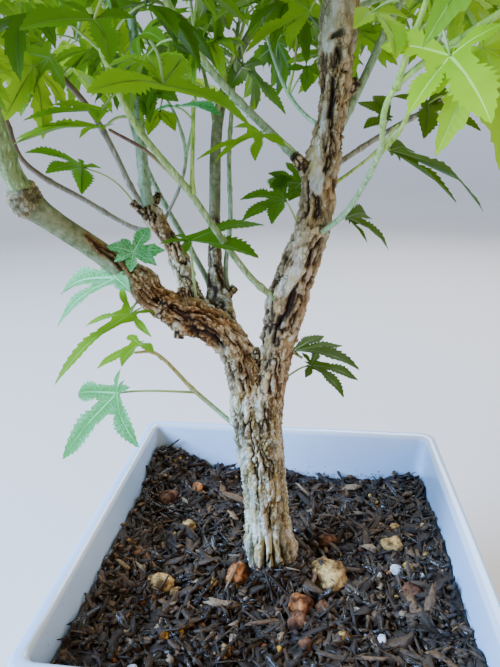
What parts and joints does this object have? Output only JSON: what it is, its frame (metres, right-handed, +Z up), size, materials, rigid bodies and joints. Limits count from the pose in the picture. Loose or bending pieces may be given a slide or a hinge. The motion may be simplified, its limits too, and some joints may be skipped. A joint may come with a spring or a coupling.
{
  "type": "potted japanese maple",
  "caption": "Young japanese maple with rough cork bark, forked low, leaning boughs and a full leafy crown, planted in bark soil in a square white glazed pot.",
  "frame": {"origin": "centre of the pot's flat underside, where it stands on the ground", "axes": "+Z up, +X to the right along the pot's back wall as the picture sees it, +Y away from the viewer"},
  "size_m": [0.4142, 0.3076, 0.6481],
  "materials": {
    "glazed_pot": "gloss",
    "potting_soil": "matte",
    "cork_bark": "matte",
    "green_stem": "satin",
    "maple_leaves": "satin"
  },
  "bodies": {
    "root": {"pot": "glazed_pot", "soil": "potting_soil", "trunk": "cork_bark", "right_bough": "cork_bark", "left_bough": "cork_bark", "left_arm": "cork_bark", "left_shoot": "green_stem", "centre_bough": "cork_bark", "back_bough": "cork_bark", "centre_shoot": "green_stem", "brown_shoot": "green_stem", "low_left_twig": "green_stem", "low_right_twig": "green_stem", "inner_left_shoot": "green_stem", "upper_left_shoot": "green_stem", "right_shoot": "green_stem", "upper_right_shoot": "green_stem", "grey_twig": "green_stem", "back_right_side": "green_stem", "front_side": "green_stem", "upper_right_side": "green_stem", "upper_left_side": "green_stem", "back_left_side": "green_stem", "upper_back_side": "green_stem", "upper_front_side": "green_stem", "low_left_spray": "maple_leaves", "hanging_left_spray": "maple_leaves", "middle_spray": "maple_leaves", "low_right_spray": "maple_leaves", "hanging_right_spray": "maple_leaves", "left_front_mass": "maple_leaves", "far_left_mass": "maple_leaves", "centre_left_mass": "maple_leaves", "back_mass": "maple_leaves", "back_right_mass": "maple_leaves", "far_right_mass": "maple_leaves", "right_front_mass": "maple_leaves", "inner_left_mass": "maple_leaves", "inner_front_mass": "maple_leaves", "front_mass": "maple_leaves", "right_mass": "maple_leaves", "back_left_mass": "maple_leaves", "upper_back_mass": "maple_leaves", "upper_right_mass": "maple_leaves", "upper_left_mass": "maple_leaves", "upper_front_mass": "maple_leaves", "top_mass": "maple_leaves"}
  },
  "joints": []
}
